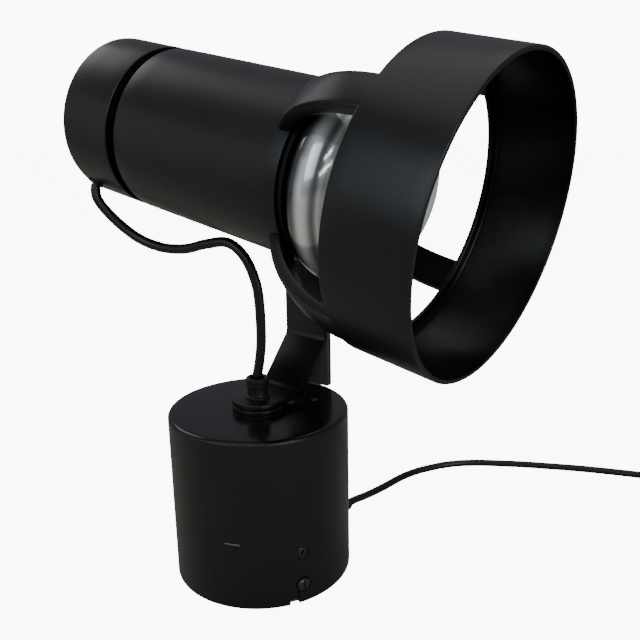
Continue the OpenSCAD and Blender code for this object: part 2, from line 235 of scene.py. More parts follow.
def coords(t):
    return t.nodes.new("ShaderNodeTexCoord").outputs["Object"]


def noise(t, vec, scale, detail=3.0, rough=0.55):
    n = t.nodes.new("ShaderNodeTexNoise")
    n.inputs["Scale"].default_value = scale
    n.inputs["Detail"].default_value = detail
    n.inputs["Roughness"].default_value = rough
    t.links.new(vec, n.inputs["Vector"])
    return n.outputs["Fac"]


def spread(t, fac, a0, a1, b0, b1):
    n = t.nodes.new("ShaderNodeMapRange")
    n.inputs["From Min"].default_value, n.inputs["From Max"].default_value = a0, a1
    n.inputs["To Min"].default_value, n.inputs["To Max"].default_value = b0, b1
    t.links.new(fac, n.inputs["Value"])
    return n.outputs["Result"]


def tones(t, fac, stops):
    n = t.nodes.new("ShaderNodeValToRGB")
    e = n.color_ramp.elements
    while len(e) < len(stops):
        e.new(0.5)
    for k, (pos, col) in enumerate(stops):
        e[k].position, e[k].color = pos, (*col, 1)
    t.links.new(fac, n.inputs["Fac"])
    return n.outputs["Color"]


def calc(t, op, a, b=None):
    n = t.nodes.new("ShaderNodeMath")
    n.operation = op
    for k, v in enumerate((a, b)):
        if v is None:
            continue
        if isinstance(v, (int, float)):
            n.inputs[k].default_value = v
        else:
            t.links.new(v, n.inputs[k])
    return n.outputs[0]


def mixed(t, fac, a, b):
    n = t.nodes.new("ShaderNodeMix")
    n.data_type = "RGBA"
    t.links.new(fac, n.inputs["Factor"])
    for s, v in ((6, a), (7, b)):
        if isinstance(v, tuple):
            n.inputs[s].default_value = (*v, 1)
        else:
            t.links.new(v, n.inputs[s])
    return n.outputs[2]


def bump(t, b, height, strength, distance, after=None):
    n = t.nodes.new("ShaderNodeBump")
    n.inputs["Strength"].default_value = strength
    n.inputs["Distance"].default_value = distance
    t.links.new(height, n.inputs["Height"])
    if after is not None:
        t.links.new(after, n.inputs["Normal"])
    t.links.new(n.outputs["Normal"], b.inputs["Normal"])
    return n.outputs["Normal"]


def lacquer(name, dark=(0.0010, 0.0011, 0.0013), light=(0.0018, 0.0019, 0.0022), rough=(0.30, 0.38), grain=1300, depth=0.10, dust=0.35, scratch=False, gloss=0.5, corner=None, front=None, shade=None, fade=None, inside_painted_sheen=None, top=None):
    """Satin black paint: fine orange-peel, cloudy sheen, a little dust on what faces up, paler worn edges."""
    m, t, b = nodes_of(name)
    v = coords(t)
    cloud = noise(t, v, 22, 4)
    fine, coarse = noise(t, v, grain, 2), noise(t, v, 160, 2)
    specks = noise(t, v, 420, 1)
    base = tones(t, cloud, [(0.3, dark), (0.7, light)])
    geo = t.nodes.new("ShaderNodeNewGeometry")
    wear = spread(t, geo.outputs["Pointiness"], 0.52, 0.60, 0.0, 0.5)
    base = mixed(t, wear, base, (0.012, 0.012, 0.0125))
    sep = t.nodes.new("ShaderNodeSeparateXYZ")
    t.links.new(geo.outputs["Normal"], sep.inputs[0])
    up = spread(t, sep.outputs["Z"], 0.6, 1.0, 0.0, dust)
    fleck = spread(t, specks, 0.64, 0.74, 0.04, 0.5)
    base = mixed(t, calc(t, "MULTIPLY", up, fleck), base, (0.03, 0.03, 0.03))
    r = spread(t, cloud, 0.3, 0.7, rough[0], rough[1])
    pos = t.nodes.new("ShaderNodeSeparateXYZ")
    t.links.new(v, pos.inputs[0])
    if front is not None:                             # painted light: the near face, towards the riser, is made lighter, standing in for light bounced onto it
        base = mixed(t, spread(t, pos.outputs["Y"], front[0], front[0] + 0.0004, 1.0, 0.0), base, front[1])
    if scratch:
        az = calc(t, "ARCTAN2", pos.outputs["Y"], pos.outputs["X"])
        wob = spread(t, noise(t, v, 260, 2), 0.3, 0.7, -0.0003, 0.0003)
        h = calc(t, "ADD", pos.outputs["Z"], wob)
        line = calc(t, "COMPARE", h, 0.0379)
        line.node.inputs[2].default_value = 0.00038
        span = calc(t, "COMPARE", az, -1.165)
        span.node.inputs[2].default_value = 0.082
        mask = calc(t, "MULTIPLY", line, span)
        base = mixed(t, mask, base, (0.15, 0.15, 0.148))
        tick = calc(t, "COMPARE", az, -1.262)
        tick.node.inputs[2].default_value = 0.006
        tall = calc(t, "COMPARE", h, 0.0381)
        tall.node.inputs[2].default_value = 0.0012
        base = mixed(t, calc(t, "MULTIPLY", tick, tall), base, (0.002, 0.002, 0.002))
    t.links.new(base, b.inputs["Base Color"])
    if top is not None:                               # smoother paint on the flat top
        r = calc(t, "MULTIPLY", r, spread(t, pos.outputs["Z"], top[0], top[0] + 0.0008, 1.0, top[1]))
        flat = spread(t, pos.outputs["Z"], top[0], top[0] + 0.0008, 1.0, 0.25)
        fine, coarse = calc(t, "MULTIPLY", fine, flat), calc(t, "MULTIPLY", coarse, flat)
    t.links.new(r, b.inputs["Roughness"])
    b.inputs["Specular IOR Level"].default_value = gloss
    if fade is not None:                              # painted shade and highlight: sheen set per leg for how light falls on it, changing along the head's axis to even with the hood's at the hood
        axis = t.nodes.new("ShaderNodeVectorMath")
        axis.operation = "DOT_PRODUCT"
        back = H.inverted()
        t.links.new(v, axis.inputs[0])
        axis.inputs[1].default_value = tuple(back[2][:3])
        station = calc(t, "ADD", axis.outputs["Value"], back[2][3])
        t.links.new(spread(t, station, fade[0], fade[1], fade[2], 0.5), b.inputs["Specular IOR Level"])
    if inside_painted_sheen is not None:                            # painted reflections and shade inside the hood: the sheen is cut in soft streaks around the axis and kept where highlights fall
        back = H.inverted()
        part = []
        for row in back[:3]:
            axis = t.nodes.new("ShaderNodeVectorMath")
            axis.operation = "DOT_PRODUCT"
            t.links.new(v, axis.inputs[0])
            axis.inputs[1].default_value = tuple(row[:3])
            part.append(calc(t, "ADD", axis.outputs["Value"], row[3]))
        az = calc(t, "ARCTAN2", part[1], part[0])
        az = calc(t, "ADD", az, spread(t, noise(t, v, 30, 3), 0.3, 0.7, -0.07, 0.07))
        az = calc(t, "ADD", az, spread(t, part[2], 105, 145, 0.15, -0.15))
        r2 = calc(t, "ADD", calc(t, "MULTIPLY", part[0], part[0]), calc(t, "MULTIPLY", part[1], part[1]))
        deep = spread(t, calc(t, "SQRT", r2), 68.6, 69.4, 1.0, 0.0)
        lo, hi = math.radians(-30), math.radians(180)
        streak = tones(t, spread(t, az, lo, hi, 0.0, 1.0), [((math.radians(a) - lo) / (hi - lo), (g, g, g)) for a, g in inside_painted_sheen])
        painted_shade_inside = calc(t, "MULTIPLY", deep, calc(t, "SUBTRACT", 1.0, streak))
        t.links.new(calc(t, "MULTIPLY", calc(t, "SUBTRACT", 1.0, painted_shade_inside), gloss), b.inputs["Specular IOR Level"])
    if corner is not None:                            # painted shade in the bend: the sheen is cut near the bend, standing in for the shadow there
        far = t.nodes.new("ShaderNodeVectorMath")
        far.operation = "DISTANCE"
        far.inputs[1].default_value = corner
        t.links.new(v, far.inputs[0])
        away = calc(t, "ADD", far.outputs["Value"], spread(t, noise(t, v, 90, 3), 0.3, 0.7, -0.002, 0.002))
        level = spread(t, away, 0.012, 0.026, 0.10, gloss)
        if shade is not None:                         # painted shade: the sheen is cut on the upright's near face where the head shades it
            high = spread(t, pos.outputs["Z"], shade[0], shade[1], 0.0, 0.65)
            near = spread(t, pos.outputs["Y"], 0.0434, 0.0438, 1.0, 0.0)
            level = calc(t, "MULTIPLY", level, calc(t, "SUBTRACT", 1.0, calc(t, "MULTIPLY", high, near)))
            # painted shade: the sheen is cut on the strip's +x side
            level = calc(t, "MULTIPLY", level, spread(t, pos.outputs["X"], 0.0137, 0.0142, 1.0, 0.4))
        t.links.new(level, b.inputs["Specular IOR Level"])
    first = bump(t, b, fine, depth, 0.0003)
    bump(t, b, coarse, 0.05, 0.0006, first)
    return m


def polymer(name, dark, light, rough, grain, depth, gloss=0.5):
    """Moulded plastic or cable sheath: fine texture and uneven sheen."""
    m, t, b = nodes_of(name)
    v = coords(t)
    cloud = noise(t, v, 45, 4)
    t.links.new(tones(t, cloud, [(0.3, dark), (0.72, light)]), b.inputs["Base Color"])
    t.links.new(spread(t, noise(t, v, 130, 3), 0.3, 0.7, rough[0], rough[1]), b.inputs["Roughness"])
    b.inputs["Specular IOR Level"].default_value = gloss
    first = bump(t, b, noise(t, v, grain, 2), depth, 0.0002)
    bump(t, b, noise(t, v, 240, 2), 0.06, 0.0004, first)
    return m


def metal(name, dark, light, rough, along=None, grain=700):
    """Bare metal with fine turning or drawing lines and slight tarnish."""
    m, t, b = nodes_of(name)
    v = coords(t)
    if along is not None:
        mp = t.nodes.new("ShaderNodeMapping")
        mp.inputs["Scale"].default_value = along
        t.links.new(v, mp.inputs["Vector"])
        lines = mp.outputs["Vector"]
    else:
        lines = v
    t.links.new(tones(t, noise(t, v, 70, 4), [(0.3, dark), (0.7, light)]), b.inputs["Base Color"])
    t.links.new(spread(t, noise(t, v, 180, 3), 0.3, 0.7, rough[0], rough[1]), b.inputs["Roughness"])
    b.inputs["Metallic"].default_value = 1.0
    bump(t, b, noise(t, lines, grain, 2), 0.12, 0.0001)
    return m


M = {}
M["black_metal"] = lacquer("black_metal")
M["drum_metal"] = lacquer("drum_metal", scratch=True, top=(0.0938, 0.55))
# painted shade on the strip: sheen cut in the bend, on the upright's near face behind the head and on its +x side
M["strip_metal"] = lacquer("strip_metal", rough=(0.26, 0.34), corner=(0.0, 0.017, 0.103), shade=(0.145, 0.158))
# painted reflections and shade on the hood's inside, through its sheen
M["hood_metal"] = lacquer("hood_metal", inside_painted_sheen=[(-30, 0.35), (0, 0.35), (13, 0.95), (40, 0.30), (50, 0.38), (66, 1.0), (93, 0.32), (111, 0.62), (130, 0.22), (146, 0.36), (165, 0.28), (180, 0.4)])
# painted shade and highlight: the four legs have the same paint, and each gets its own sheen for how light falls on it
M["leg_metal"] = lacquer("leg_metal", gloss=0.36)
M["leg_painted_shade"] = lacquer("leg_painted_shade", fade=(76, 102, 0.20))
M["leg_inner"] = lacquer("leg_inner", gloss=0.16)
M["leg_painted_sheen"] = lacquer("leg_painted_sheen", fade=(76, 102, 0.68))
# painted light: the plate's black is a lighter copy, lighter still on its near face, for light bounced onto it
M["plate_metal_painted_light"] = lacquer("plate_metal_painted_light", (0.020, 0.020, 0.020), (0.028, 0.028, 0.028), (0.42, 0.52), front=(0.0462, (0.112, 0.115, 0.110)))
M["inner_black"] = lacquer("inner_black", (0.001, 0.001, 0.0011), (0.0018, 0.0018, 0.0019), (0.55, 0.7), dust=0.0, gloss=0.3)
M["black_plastic"] = polymer("black_plastic", (0.0018, 0.0018, 0.0019), (0.0036, 0.0036, 0.0038), (0.40, 0.54), 900, 0.14, 0.5)
M["cord_pvc"] = polymer("cord_pvc", (0.0016, 0.0016, 0.0017), (0.003, 0.003, 0.0032), (0.28, 0.40), 1500, 0.08, 0.5)
M["screw_steel"] = metal("screw_steel", (0.050, 0.049, 0.047), (0.105, 0.103, 0.100), (0.34, 0.5))
M["stud_steel"] = metal("stud_steel", (0.050, 0.050, 0.051), (0.090, 0.090, 0.092), (0.4, 0.55))
M["bright_steel"] = metal("bright_steel", (0.42, 0.42, 0.43), (0.64, 0.64, 0.65), (0.22, 0.4))
M["brass"] = metal("brass", (0.56, 0.40, 0.16), (0.78, 0.60, 0.28), (0.22, 0.4))
M["cap_metal"] = metal("cap_metal", (0.62, 0.62, 0.61), (0.80, 0.80, 0.79), (0.25, 0.4))
M["holder_white"] = polymer("holder_white", (0.74, 0.73, 0.69), (0.86, 0.85, 0.82), (0.16, 0.26), 500, 0.05)
M["terminal_white"] = polymer("terminal_white", (0.72, 0.70, 0.63), (0.84, 0.82, 0.76), (0.4, 0.55), 700, 0.1)
M["washer_fibre"] = polymer("washer_fibre", (0.60, 0.58, 0.53), (0.75, 0.74, 0.69), (0.6, 0.75), 1200, 0.3)


def silvered():
    """The bulb's silvered back seen through its glass: soft mirror, painted reflections in light and dark rings along
    the axis, faint clouding, clear surface on top.
    """
    m, t, b = nodes_of("bulb_silver")
    v = coords(t)
    along = t.nodes.new("ShaderNodeVectorMath")
    along.operation = "DOT_PRODUCT"
    back = H.inverted()
    t.links.new(v, along.inputs[0])
    along.inputs[1].default_value = tuple(back[2][:3])
    station = calc(t, "ADD", along.outputs["Value"], back[2][3])
    station = calc(t, "ADD", station, spread(t, noise(t, v, 35, 3), 0.3, 0.7, -0.35, 0.35))
    # painted reflections: light and dark rings along the head's axis stand in for reflections in the silvering
    painted_reflection_bands = [(56, 0.30), (61, 0.10), (66, 0.055), (69, 0.075), (70.5, 0.15), (72, 0.42), (74, 0.90), (75.8, 1.0), (77.7, 0.72),
             (79.4, 0.26), (80.6, 0.15), (81.5, 0.30), (82.5, 0.62), (83.8, 0.40), (86, 0.60)]
    painted_reflection_tone = tones(t, spread(t, station, 56, 86, 0.0, 1.0), [((z - 56) / 30, (0.985 * g, g, 0.985 * g)) for z, g in painted_reflection_bands])
    t.links.new(painted_reflection_tone, b.inputs["Base Color"])
    t.links.new(spread(t, noise(t, v, 60, 3), 0.3, 0.7, 0.14, 0.17), b.inputs["Roughness"])
    b.inputs["Metallic"].default_value = 0.55
    b.inputs["Coat Weight"].default_value = 0.6
    b.inputs["Coat Roughness"].default_value = 0.03
    bump(t, b, noise(t, v, 60, 2), 0.015, 0.0005)
    return m


def frosted():
    """The bulb's frosted front."""
    m, t, b = nodes_of("bulb_frost")
    v = coords(t)
    t.links.new(tones(t, noise(t, v, 40, 3), [(0.3, (0.93, 0.94, 0.94)), (0.7, (0.97, 0.98, 0.98))]), b.inputs["Base Color"])
    t.links.new(spread(t, noise(t, v, 300, 2), 0.3, 0.7, 0.38, 0.5), b.inputs["Roughness"])
    b.inputs["Subsurface Weight"].default_value = 0.15
    b.inputs["Subsurface Radius"].default_value = (0.004, 0.004, 0.004)
    bump(t, b, noise(t, v, 1600, 2), 0.15, 0.0001)
    return m


M["bulb_silver"] = silvered()
M["bulb_frost"] = frosted()

node_slot = {s["node"]: s["material_slot"] for s in frame["record"]["subparts"]}
for name, o in N.items():
    o.data.materials.clear()
    o.data.materials.append(M.get(node_slot.get(name), M["bulb_silver"]))


def dress(o, body, slot, *nodes, mat=None):
    o.data.materials.clear()
    o.data.materials.append(M[mat or slot])
    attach(o, body)
    if nodes:
        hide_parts(*nodes)
    return o


# ---------------------------------------------------------------- mains cord
CORD_R = 2.4
route = [(10, 71, 6.5), (10, 76, 6.4), (10, 83, 5.2), (10.2, 93, 3.5), (11.5, 107, 2.6),
         (16, 138, 2.45), (23, 154.5, 2.4), (33, 169.5, 2.4), (44.5, 180, 2.4),
         (61, 190.5, 2.4), (79, 200.5, 2.4), (96.5, 209, 2.4), (114, 217, 2.4),
         (131, 223.7, 2.4), (148, 230, 2.4), (172, 238.8, 2.7)]
cx, cy = 210, 212
turn = []
ang, per = 110.4, 360 / 18
low_turns, rise = (38.3 - 19.4) / 4.85, 184.7
total = low_turns * 360 * 2 + rise
steps = round(total / per)
for k in range(steps + 1):
    g = total * k / steps
    if g < low_turns * 360:
        r, z = 38.3 - 4.85 * g / 360, 3.2
    elif g < low_turns * 360 + rise:
        f = (g - low_turns * 360) / rise
        r, z = 19.4, 3.2 + 4.85 * (f * f * (3 - 2 * f))
    else:
        r, z = 19.4 + 4.85 * (g - low_turns * 360 - rise) / 360, 8.05
    a = math.radians(ang - g)
    turn.append((cx + r * math.cos(a), cy + r * math.sin(a), z))
tail = [(248.3, 200, 7.8), (248.3, 188, 7.25), (248.3, 178, 6.9), (248.3, 172, 6.85)]
line = route + turn + tail
cu = bpy.data.curves.new("mains_cord_run", "CURVE")
cu.dimensions = "3D"
cu.bevel_depth = CORD_R * MM
cu.bevel_resolution = 5
cu.resolution_u = 6
cu.use_fill_caps = True
sp = cu.splines.new("BEZIER")
sp.bezier_points.add(len(line) - 1)
for q, p in zip(sp.bezier_points, line):
    q.co = [c * MM for c in p]
    q.handle_left_type = q.handle_right_type = "AUTO"
cord = link("mains_cord_run", cu)
dress(cord, "base", "cord_pvc", "mains_cord", "cord_coil", "plug_lead")

# ---------------------------------------------------------------- lead, gland bush to rear cap
lead_pts = [(0, 0, 108.3), (0.1, 0.1, 113.5), (1.5, 0.8, 122), (3, 1, 133), (4.4, -0.5, 151), (3.4, -1.7, 166),
            (-2, -4, 180), (-12, -6, 187), (-25, -9, 185.5), (-39, -12, 182),
            (-55, -15, 182), (-70, -19, 187), (-83, -24, 197.5), (-90, -28, 208), (-91.585, -27.31, 216.51)]
lead_line = catmull(lead_pts, 8)
loops = []
nrm = None
last = len(lead_line) - 1
for i, p in enumerate(lead_line):
    t3 = lead_line[min(i + 1, len(lead_line) - 1)] - lead_line[max(i - 1, 0)]
    t3 /= np.linalg.norm(t3)
    if nrm is None:
        nrm = np.array((0.794, 0.608, 0))
    nrm = nrm - t3 * (nrm @ t3)
    nrm /= np.linalg.norm(nrm)
    b3 = np.cross(t3, nrm)
    full = min(1.0, i / 6, (last - i) / 4)
    wide, thick = CORD_R + 0.35 * full, CORD_R + 0.1 * full
    loops.append([tuple((p + wide * math.cos(2 * math.pi * k / 24) * nrm + thick * math.sin(2 * math.pi * k / 24) * b3) * MM) for k in range(24)])
lead = loft("lead", loops)
lead.data.materials.append(M["cord_pvc"])
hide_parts("head_lead")
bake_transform(lead)

# ---------------------------------------------------------------- base
drum = lathe("drum_shell", [(0, 95, 0), (50, 95, 2.2), (50, 0, 0.5), (48, 0, 0.4), (48, 92, 1.5), (0, 92, 0)], S, 256, 6, 4)
cutters = []
for az in (SCREW_AZ, SCREW_AZ + 180):
    cutters.append(drill(4.6, 49.2, 56, on_drum(az, 10.8)))
cutters.append(drill(3.7, 49.1, 56, on_drum(SCREW_AZ, 29.4)))
cutters.append(drill(2.52, 44, 50, on_drum(SCREW_AZ, 29.4), 32))
cutters.append(block((42, -2.5, -1), (56, 2.5, 3), S @ rz(SCREW_AZ - 6)))
cutters.append(block((45, -0.35, -1), (55, 0.35, 8), S @ rz(SCREW_AZ - 3.4)))
carve(drum, cutters, 0.28, 2)
corner_n = np.zeros(len(drum.data.loops) * 3, np.float32)
drum.data.corner_normals.foreach_get("vector", corner_n)
corner_n = corner_n.reshape(-1, 3)
for p in drum.data.polygons:                          # the outer wall is a true cylinder
    c = p.center
    if math.hypot(c.x, c.y) > 0.0497 and p.normal.z < 0.05 and (p.normal.x * c.x + p.normal.y * c.y) > 0.998 * math.hypot(c.x, c.y):
        for li in p.loop_indices:
            co = drum.data.vertices[drum.data.loops[li].vertex_index].co
            if math.hypot(co.x, co.y) > 0.04995:
                d = Vector((co.x, co.y, 0)).normalized()
                corner_n[li] = d
drum.data.normals_split_custom_set([tuple(v) for v in corner_n])
dress(drum, "base", "black_metal", "canopy_drum", mat="drum_metal")

for k, az in enumerate((SCREW_AZ, SCREW_AZ + 180)):
    sc = lathe(f"lock_screw_{k + 1}", [(0, 41, 0), (1.98, 41, 0.4), (1.98, 49.2, 0), (3.6, 49.2, 0), (3.6, 50.5, 0.7), (2.4, 51.3, 1.2), (0, 51.4, 0)], on_drum(az, 10.8), 48)
    carve(sc, [block((-4, -0.5, 50.4), (4, 0.5, 53), on_drum(az, 10.8))], 0.12, 2)
    dress(sc, "base", "screw_steel", "lock_screws")
ss = lathe("set_screw_socket", [(0, 45.55, 0), (2.5, 45.55, 0.4), (2.5, 49.1, 0.4), (0, 49.1, 0)], on_drum(SCREW_AZ, 29.4), 48)
carve(ss, [drill(1.25, 47.3, 52, on_drum(SCREW_AZ, 29.4), 6)], 0.1, 2)
dress(ss, "base", "screw_steel", "set_screw")

dress(lathe("bearing_disc", [(5.1, 95, 0), (14.5, 95, 0.3), (14.5, 97.4, 0.5), (5.1, 97.4, 0)], S, 96), "base", "black_metal", "swivel_disc")
dress(lathe("stop_stud_head", [(0, 84, 0), (1.5, 84, 0.2), (1.5, 95, 0), (1.9, 95, 0.05), (1.9, 95.45, 0.3), (1.2, 95.8, 0.5), (0, 95.85, 0)], S @ tr(19.2, 25.7, 0), 40), "base", "bright_steel", "stop_stud", mat="stud_steel")

ribs = [(0, 42.5, 0), (6, 42.5, 0.4), (6, 44.9, 0.4), (4.95, 44.9, 0), (4.95, 50.2, 0), (6, 50.2, 0.5), (6, 52.2, 0.6), (5.3, 52.2, 0.2)]
for k in range(6):
    y0 = 54.4 + 2.5 * k
    ra, rb = 5.2 - (y0 - 52.2) / 18.8 * 1.8, 5.2 - (y0 + 1.2 - 52.2) / 18.8 * 1.8
    ribs += [(ra, y0, 0.25), (ra - 0.7, y0 + 0.2, 0.2), (rb - 0.7, y0 + 1.0, 0.2), (rb, y0 + 1.2, 0.25)]
ribs += [(3.4, 71, 0.4), (0, 71, 0)]
dress(lathe("strain_relief", ribs, S @ tr(10, 0, 6.5) @ rx(-90), 56, 3), "base", "black_plastic", "mains_gland")


def round_rect(w, h, c, n=5):
    pts = []
    for sx, sy, a0 in ((1, 1, 0), (-1, 1, 90), (-1, -1, 180), (1, -1, 270)):
        for k in range(n + 1):
            a = math.radians(a0 + 90 * k / n)
            pts.append((sx * (w - c) + c * math.cos(a), sy * (h - c) + c * math.sin(a)))
    return pts


plug_rows = [(176.5, 3.3, 3.3, 3.25), (175.2, 3.9, 3.9, 3.85), (173.2, 4.0, 4.0, 3.9), (172.8, 3.5, 3.5, 3.4), (171.6, 3.5, 3.5, 3.4),
             (171.2, 4.4, 4.3, 4.2), (169.2, 4.6, 4.4, 4.3), (168.8, 3.9, 3.8, 3.7), (167.6, 4.0, 3.9, 3.8), (167.2, 5.2, 4.8, 4.5),
             (163, 6.6, 5.5, 4.8), (158, 9.4, 6.2, 5.0), (154, 13.0, 6.6, 5.0), (151, 15.8, 6.8, 4.8), (148, 17.2, 6.85, 4.6),
             (145, 17.6, 6.85, 4.4), (139.2, 17.6, 6.85, 4.4), (138.0, 17.4, 6.65, 4.2), (137.3, 16.9, 6.2, 3.8), (137.0, 16.2, 5.6, 3.2)]
plug = loft("plug_moulding", [[(248.3 + x, y, 6.85 + z) for x, z in round_rect(w, h, c)] for y, w, h, c in plug_rows], S, sharp=40)
dress(plug, "base", "black_plastic", "plug_body")
for k, x in enumerate((-9.3, 9.3)):
    pin = lathe(f"plug_pin_{k + 1}", [(0, 30, 0), (1.98, 30, 0), (1.98, 46, 0.08), (1.9, 46.2, 0.08), (1.9, 54.6, 0.2), (1.5, 55.8, 0.7), (0, 56, 0)],
                S @ tr(248.3 + x, 174, 6.85) @ rx(90), 40)
    dress(pin, "base", "bright_steel", "plug_pins")

outer = fillet([(15.6, 0, 3), (41.7, 0, 3), (41.7, 11.5, 3), (15.6, 11.5, 3)], 6)
inner = fillet([(16.5, 0.85, 2.2), (40.9, 0.85, 2.2), (40.9, 10.6, 2.2), (16.5, 10.6, 2.2)], 6)
strap = []
for (xo, zo), (xi, zi) in zip(outer, inner):
    strap.append([(xo, -3.7, zo), (xo, 3.7, zo), (0.75 * xo + 0.25 * xi, 4, 0.75 * zo + 0.25 * zi), (xi, 4, zi), (xi, -4, zi), (0.75 * xo + 0.25 * xi, -4, 0.75 * zo + 0.25 * zi)])
tie = loft("cord_strap", strap, S @ tr(cx, cy, 0) @ rz(250), closed_ring=True)
dress(tie, "base", "black_plastic", "cord_tie")

# ---------------------------------------------------------------- arm
mid = []                                             # strip's middle line: along the foot, up the riser, up the upright


def arc_corner(p, a, b, rad, n=10):
    return [np.array(q) for q in fillet([(*a, 0), (*p, rad), (*b, 0)], n)[1:-1]]


foot_end, c1, c2, top_end = (-14.5, 99.2), (20.9, 99.2), (44.5, 125.5), (44.5, 249.1)
corner1, corner2 = arc_corner(c1, foot_end, c2, 8.0), arc_corner(c2, c1, top_end, 7.0)
stations = []


def run(a, b, steps):
    a, b = np.array(a, float), np.array(b, float)
    return [a + (b - a) * s for s in steps]


ease = [1 - math.cos(math.pi / 2 * k / 14) for k in range(15)]
foot_round = run(foot_end, (0, 99.2), ease)
top_round = run((44.5, 234.6), top_end, [1 - e for e in ease[::-1]])
stations = foot_round + run((0, 99.2), corner1[0], [k / 6 for k in range(1, 6)]) + corner1 + run(corner1[-1], corner2[0], [k / 8 for k in range(1, 8)]) \
    + corner2 + run(corner2[-1], (44.5, 234.6), [k / 24 for k in range(1, 24)]) + top_round
rows = []
for i, p in enumerate(stations):
    t2 = stations[min(i + 1, len(stations) - 1)] - stations[max(i - 1, 0)]
    t2 /= np.linalg.norm(t2)
    n2 = np.array((-t2[1], t2[0]))
    if p[0] < 0:
        w = math.sqrt(max(14.5 ** 2 - p[0] ** 2, 0.25))
    elif p[1] > 234.6:
        w = math.sqrt(max(14.5 ** 2 - (p[1] - 234.6) ** 2, 0.25))
    else:
        w = 14.5
    c = min(0.55, 0.4 * w)
    rows.append([(x, p[0] + n2[0] * h, p[1] + n2[1] * h) for x, h in round_rect(w, 1.5, c, 3)])
strip = loft("bent_strip", rows, S, sharp=40)
dress(strip, "arm", "black_metal", "bracket", mat="strip_metal")

plate_out = fillet([(-14.5, 95.7, 2.0), (14.5, 95.7, 2.0), (14.5, 169, 1.2), (-14.5, 169, 1.2)], 6)
inset = fillet([(-14.1, 96.1, 1.7), (14.1, 96.1, 1.7), (14.1, 168.6, 1.0), (-14.1, 168.6, 1.0)], 6)
plate_rows = [[(x, 46.0, z) for x, z in inset], [(x, 46.12, z) for x, z in [((a[0] + b[0]) / 2, (a[1] + b[1]) / 2) for a, b in zip(plate_out, inset)]],
              [(x, 46.4, z) for x, z in plate_out], [(x, 48.6, z) for x, z in plate_out],
              [(x, 48.88, z) for x, z in [((a[0] + b[0]) / 2, (a[1] + b[1]) / 2) for a, b in zip(plate_out, inset)]], [(x, 49.0, z) for x, z in inset]]
dress(loft("riser_plate", plate_rows, S, sharp=40), "arm", "black_metal", "back_plate", mat="plate_metal_painted_light")

for k, z in enumerate((140, 158)):
    rv = lathe(f"rivet_{k + 1}", [(0, 0.04, 0), (3.44, 0.04, 0.1), (1.98, 1.5, 0.2), (1.98, 6.0, 0), (3.5, 6.0, 0), (3.35, 6.5, 0.4), (2.2, 7.1, 0.8), (0, 7.2, 0)],
               S @ tr(0, 43, z) @ rx(-90), 40)
    dress(rv, "arm", "black_metal", "bracket_rivets")

dress(lathe("lead_bush", [(2.6, 0, 0), (7, 0, 0.2), (7, 1.2, 0.45), (5.7, 1.2, 0.35), (5.7, 7, 0.25), (6.4, 7, 0.3), (6.4, 8.2, 0.3), (5.7, 8.2, 0.15),
                          (5.7, 8.8, 0.15), (6.4, 8.8, 0.3), (6.4, 11.8, 0.7), (4, 11.8, 0.5), (3.8, 8, 0.6), (2.6, 7.4, 0.2)], S @ tr(0, 0, 100.7), 72),
      "arm", "black_plastic", "gland_bush")

# ---------------------------------------------------------------- head
dress(lathe("tube_body", [(40.9, -51.1, 0.3), (42.9, -51.1, 0.7), (42.9, 57, 0.5), (40.9, 57, 0.4)], H, 224, 4, 9), "head", "black_metal", "body_tube")
dress(lathe("end_cap", [(0, -93.8, 0), (42.9, -93.8, 2.5), (42.9, -57.5, 0.7), (40.9, -57.5, 0.3), (40.9, -91.3, 1.5), (0, -91.3, 0)], H, 224, 6, 9), "head", "black_metal", "rear_cap")
dress(lathe("hood", [(62.4, 103.1, 0.5), (70.5, 103.1, 0.7), (70.5, 144.3, 0.75), (68.2, 144.3, 0.6), (68.2, 105.3, 0.9), (62.4, 105.3, 0.6)], H, 288, 5, 5), "head", "black_metal", "hood_ring", mat="hood_metal")

HALF = 8.6
for k, az in enumerate((228, 316.5, 47.6, 141)):
    loops = []
    for j in range(41):
        s = j / 40
        po, pi_ = math.radians(56.6 * s), math.radians(51.6 * s)
        o_rz = np.array((5.5 + 65 * math.cos(po), 103.12 - 65 * math.sin(po)))
        i_rz = np.array((3.9 + 60 * math.cos(pi_), 103.12 - 60 * math.sin(pi_)))
        th = float(np.linalg.norm(o_rz - i_rz))
        loop = []
        ring_pts = round_rect(HALF, th / 2, 1.7, 5)
        across = [(HALF - 1.7) * (1 - k2 / 5) for k2 in range(1, 10)]
        ring_pts = ring_pts[:6] + [(x, th / 2) for x in across] + ring_pts[6:18] + [(-x, -th / 2) for x in across] + ring_pts[18:]
        for x, h in ring_pts:
            f = h / th + 0.5
            r, z = i_rz + (o_rz - i_rz) * f
            u = math.sqrt(max(r * r - x * x, 1))
            loop.append((u, x, z))
        loops.append(loop)
    loops.insert(0, [(u, x, 103.79) for u, x, z in loops[0]])
    leg = loft(f"leg_{k + 1}", loops, H @ rz(az), sharp=40)
    # each leg gets its own painted shade and highlight through its sheen
    dress(leg, "head", "black_metal", "hood_legs", mat=("leg_painted_shade", "leg_painted_sheen", "leg_inner", "leg_metal")[k])

